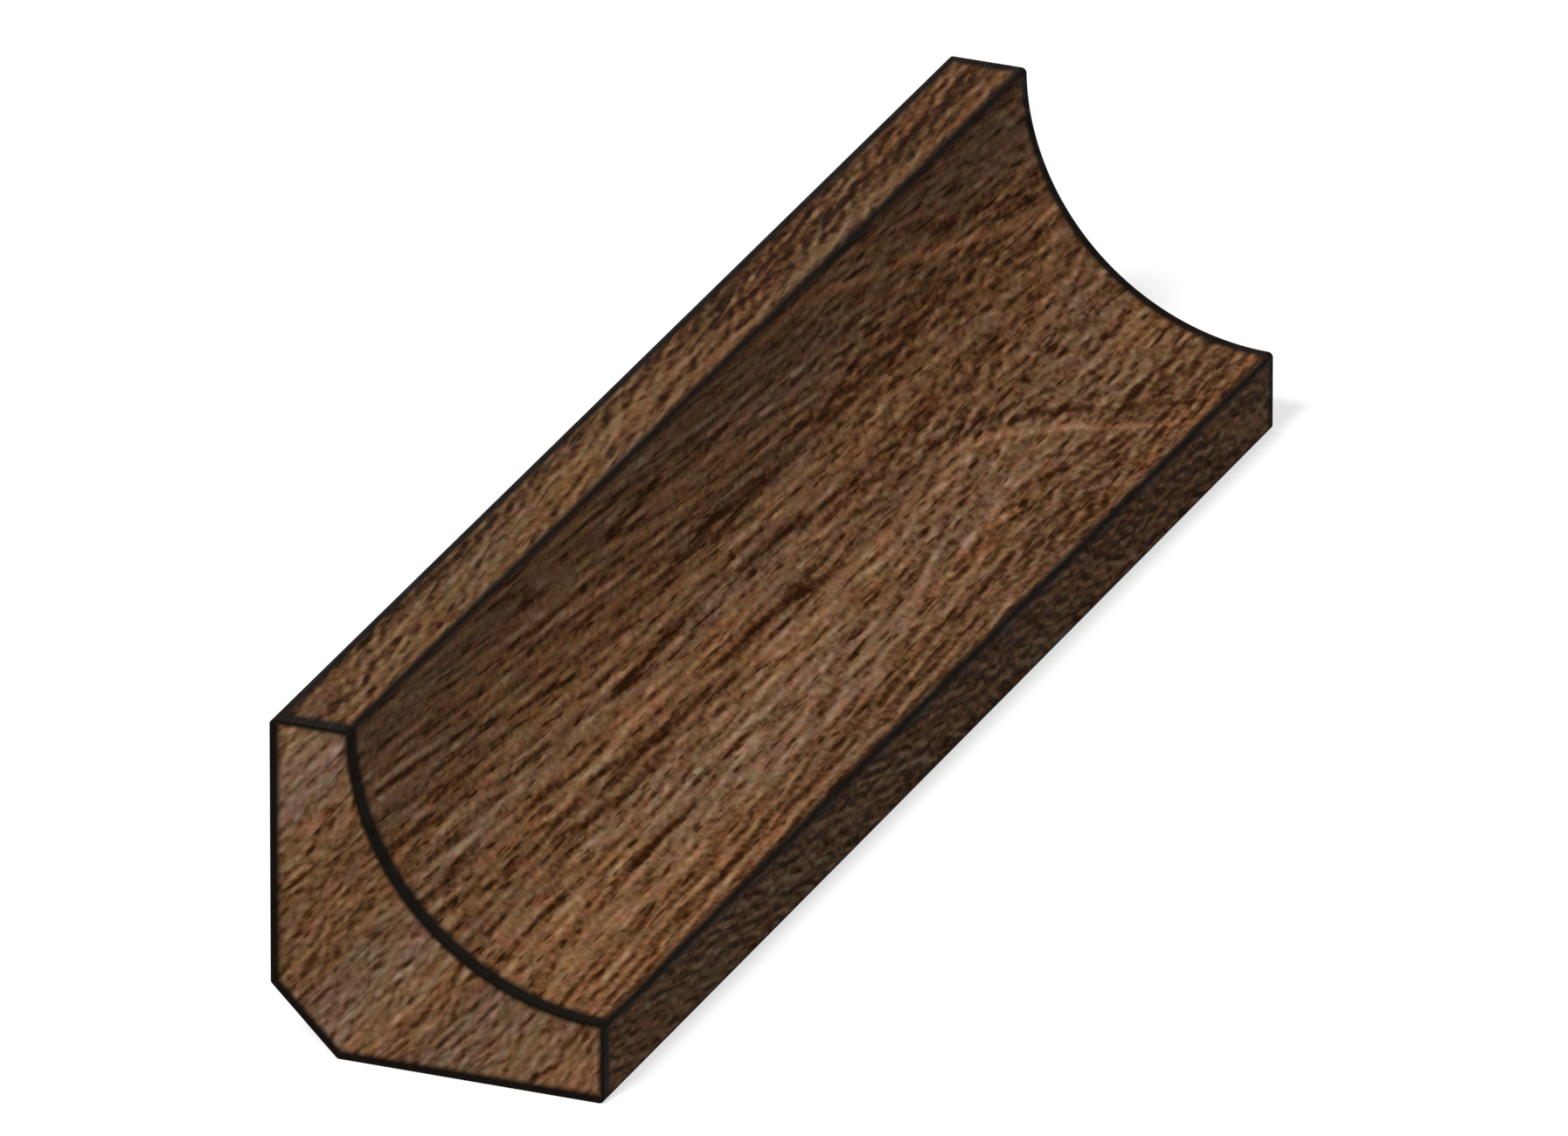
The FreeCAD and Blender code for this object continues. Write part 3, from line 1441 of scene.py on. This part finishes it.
# Each streak starts with its start, its end and its level
HOLLOW_STREAKS = (
    # The wide zones, light and dark. The bands at 19.5 and 12.2 that run the whole length are painted light
    # and painted shade across the hollow, and the one at 27.3 is painted shade beside the front lip
    Streak(-20, 120, 19.5, width=4.5, tone=0.07),
    Streak(-20, 120, 12.2, width=2.2, tone=-0.07),
    Streak(60, 112, 13.8, width=1.2, tone=-0.08),
    Streak(64, 122, 27.3, width=1.0, tone=-0.1),
    Streak(28, 70, 9.6, width=1.6, tone=0.06),
    # Light and shade are painted most strongly on the flanks of the fibres along these
    Streak(20, 80, 21.5, width=2.8, tone=0.0, more_flank_shading=0.2),
    Streak(-20, 84, 9.0, width=4.5, tone=0.0, more_flank_shading=0.15),
    # A warm light line, and the long dark line above it in four stretches
    Streak(23, 70, 16.7, width=0.8, tone=0.06, warmth=0.5),
    Streak(-8, 28, 15.6, rise=1.2, width=0.24, tone=-0.3),
    Streak(26, 58, 15.1, rise=0.25, width=0.34, tone=-0.36),
    Streak(56, 68, 15.8, rise=0.6, width=0.3, tone=-0.25),
    Streak(63, 82, 16.7, rise=1.9, width=0.32, tone=-0.24),
    # The line that bends away to the front at the far end, light below and dark above
    Streak(77, 93, 18.7, rise=9.5, power=1.55, width=0.42, tone=-0.38),
    Streak(72, 90, 18.9, rise=9.8, power=2.0, width=0.4, tone=0.24, warmth=1.0),
    # The narrow light line near the top at the far end, and a dark one beside it
    Streak(65, 105, 5.4, rise=9.2, width=0.3, tone=0.34, warmth=0.9),
    Streak(84, 94, 8.9, rise=1.3, width=0.24, tone=-0.3),
    # Short dark lines and light bands between them
    Streak(40, 53, 18.3, width=0.3, tone=-0.26),
    Streak(51, 66, 18.5, rise=0.6, width=0.26, tone=-0.26),
    Streak(18, 38, 18.3, rise=0.2, width=0.3, tone=-0.22),
    Streak(22, 36, 19.5, rise=0.1, width=0.2, tone=-0.24),
    Streak(40, 76, 19.8, rise=-0.1, width=0.55, tone=0.13, warmth=0.3),
    Streak(17, 28, 22.8, width=0.2, tone=-0.3),
    Streak(24, 33, 24.7, width=0.22, tone=-0.3),
    Streak(54, 67, 21.9, rise=0.3, width=0.7, tone=-0.14),
    Streak(36, 51, 7.8, width=0.2, tone=-0.3),
    Streak(9, 18, 8.9, width=0.2, tone=-0.25),
    Streak(46, 58, 12.1, width=0.2, tone=-0.25),
    Streak(16, 62, 27.8, width=0.3, tone=0.1),
    # The shade beside the front lip
    Streak(-20, 120, 28.7, width=1.5, tone=-0.2),
)
TOP_STREAKS = (
    Streak(-12, 50, 2.4, width=3.5, tone=0.09),
    Streak(55, 120, 1.8, width=1.8, tone=-0.2, warmth=0.2),
    Streak(87, 99, 2.2, width=0.4, tone=-0.12, warmth=0.4),
    Streak(54, 87, 3.8, width=0.3, tone=0.2),
)
FRONT_STREAKS = (
    Streak(89, 101, 28.7, rise=5.0, width=0.5, tone=0.3, warmth=1.0),
    Streak(86, 98, 30.6, rise=3.4, width=0.6, tone=-0.2),
    Streak(66, 80, 29.6, rise=3.6, width=0.5, tone=0.16, warmth=0.7),
    Streak(42, 62, 32.9, width=0.5, tone=-0.25),
)

STRAIGHT = Fibres(along=(-0.05, 1.0, -0.08), far_long_share=0.1)
STRAIGHT_BACK = Fibres(along=(0.0, 1.0, 0.0), seed=(20.0, 31.0, 12.0))
SLANTED_TOP = Fibres(
    along=(-0.12, 1.0, 0.0), seed=(3.1, 40.0, 7.7), short=1.7, long=4.0, long_share=0.5, far_long_share=0.3
)
SLANTED_FRONT = Fibres(
    along=(0.0, 1.0, -0.23), seed=(51.3, 10.0, 2.9), short=1.3, long=2.8, long_share=0.5, far_long_share=0.3
)
END_FIBRES = Fibres(
    along=(0.63, 0.0, 0.78),
    bands_along=(0.63, 0.0, 0.78),
    across=0.38,
    short=1.0,
    long=2.1,
    long_share=0.5,
    far_long_share=0.5,
    wander=1.0,
    wander_reach=6.0,
)

# The shade of a finish is painted shade over its whole face, and the strength of its flanks sets how
# strongly light and shade are painted on the flanks of its fibres
FINISHES = (
    Walnut(Face.HOLLOW, STRAIGHT, streaks=HOLLOW_STREAKS),
    Walnut(
        Face.TOP_LIP,
        SLANTED_TOP,
        streaks=TOP_STREAKS,
        painted_shade=(0.5, 0.48, 0.41),
        band_strength=1.1,
        painted_flank_shading=1.7,
        long_shown=(0.12, 0.75),
        long_back=(0.46, 0.8),
    ),
    Walnut(
        Face.FRONT_LIP,
        SLANTED_FRONT,
        streaks=FRONT_STREAKS,
        painted_shade=(0.74, 0.75, 0.71),
        painted_flank_shading=2.3,
        long_shown=(0.15, 1.0),
        long_back=(0.15, 0.5),
        cut_shown=(0.5, 1.3),
    ),
    Walnut(Face.BACK, STRAIGHT_BACK, long_shown=(0.15, 0.6)),
    Walnut(
        Face.END,
        END_FIBRES,
        painted_shade=(0.86, 0.92, 1.02),
        band_strength=0.2,
        painted_flank_shading=0.95,
        groove_strength=0.12,
        cut_shown=(0.1, 0.52),
        cut_back=(0.33, 0.8),
    ),
)

LAMPS = (
    Lamp("key", towards=(-0.1, -0.66, 0.75), strength=1.08, softness=12),
    Lamp("back_fill", towards=(-0.8, 0.5, 0.3), strength=0.35, softness=40),
)


def main() -> None:
    """Builds the studio and the moulding, and reports the piece."""
    logging.basicConfig(level=logging.INFO, format="%(name)s: %(message)s")
    Studio(LAMPS).build()
    section = Section.of_node(CAD_NODE)
    piece = Moulding(section, FINISHES).build(NodeGroups(section))
    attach(piece, "root")
    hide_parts(CAD_NODE)
    log.info("%s: %d faces", piece.name, len(piece.data.polygons))


if __name__ == "__main__":
    main()
